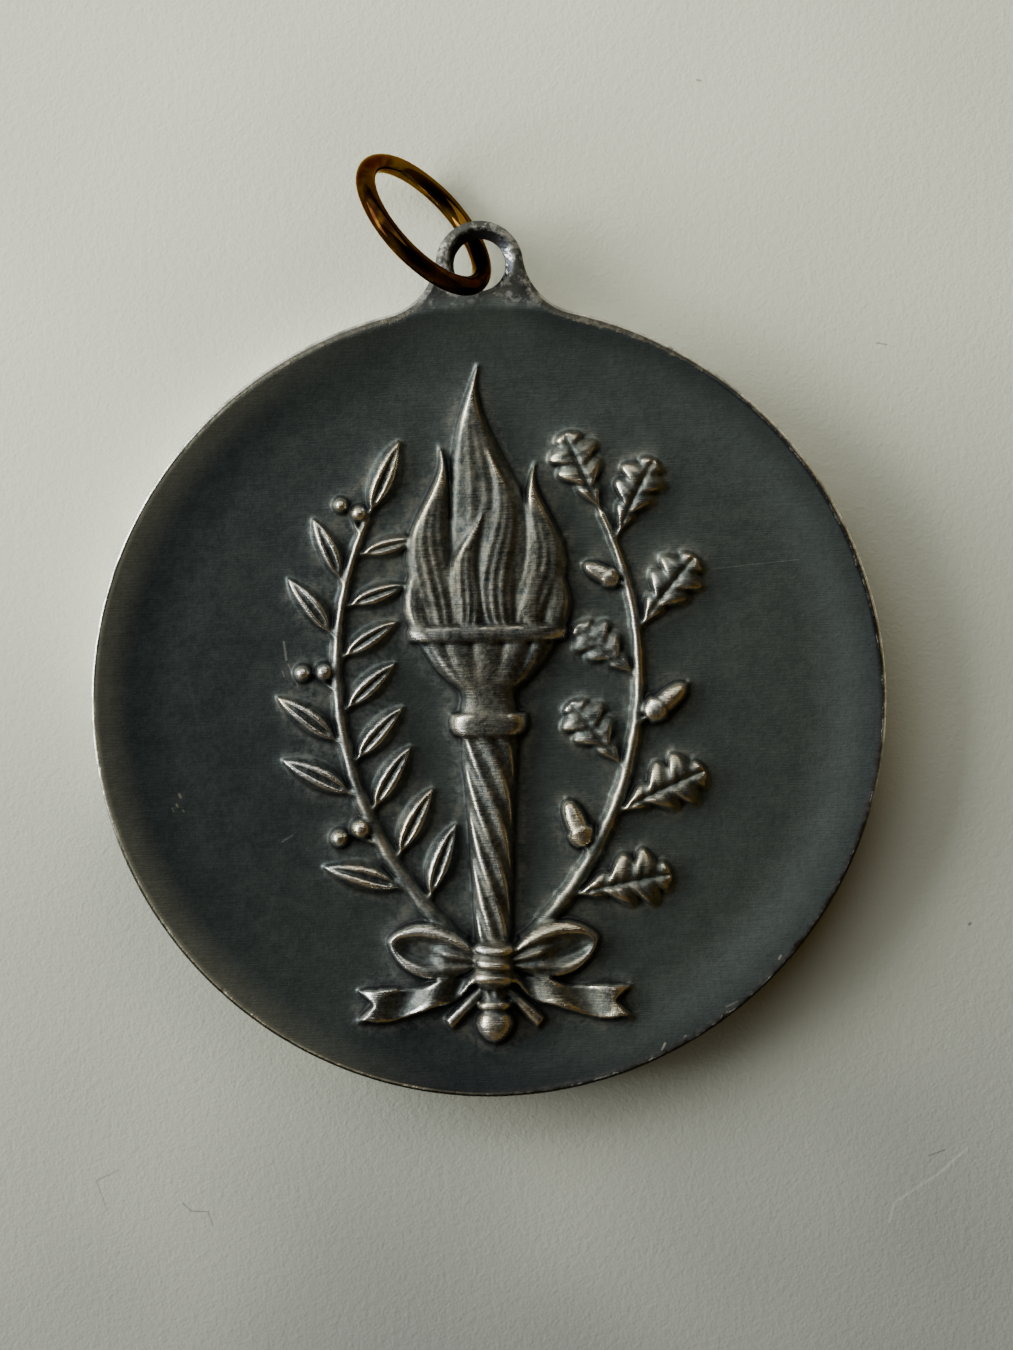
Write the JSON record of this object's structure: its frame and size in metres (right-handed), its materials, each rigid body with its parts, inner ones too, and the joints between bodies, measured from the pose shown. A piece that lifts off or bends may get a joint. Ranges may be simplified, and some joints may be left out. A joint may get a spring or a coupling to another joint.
{
  "type": "commemorative medal",
  "caption": "Round struck medal with a torch between laurel and oak branches in high relief, a raised rim, an eyelet at the top and a split jump ring leaning through it",
  "frame": {"origin": "the centre of the disc's back, on the surface the medal lies on", "axes": "+X to the right of the face as it is read, +Y from the disc's centre towards the eyelet, +Z out of the face; the medal lies on its back"},
  "size_m": [0.04, 0.0475, 0.0082],
  "materials": {
    "patinated_silver": "dark blue-grey patina, worn bright on the high points",
    "tarnished_brass": "brown tarnish with a dull gloss"
  },
  "bodies": {
    "root": {"medal": "patinated_silver", "jump_ring": "tarnished_brass"}
  },
  "joints": []
}
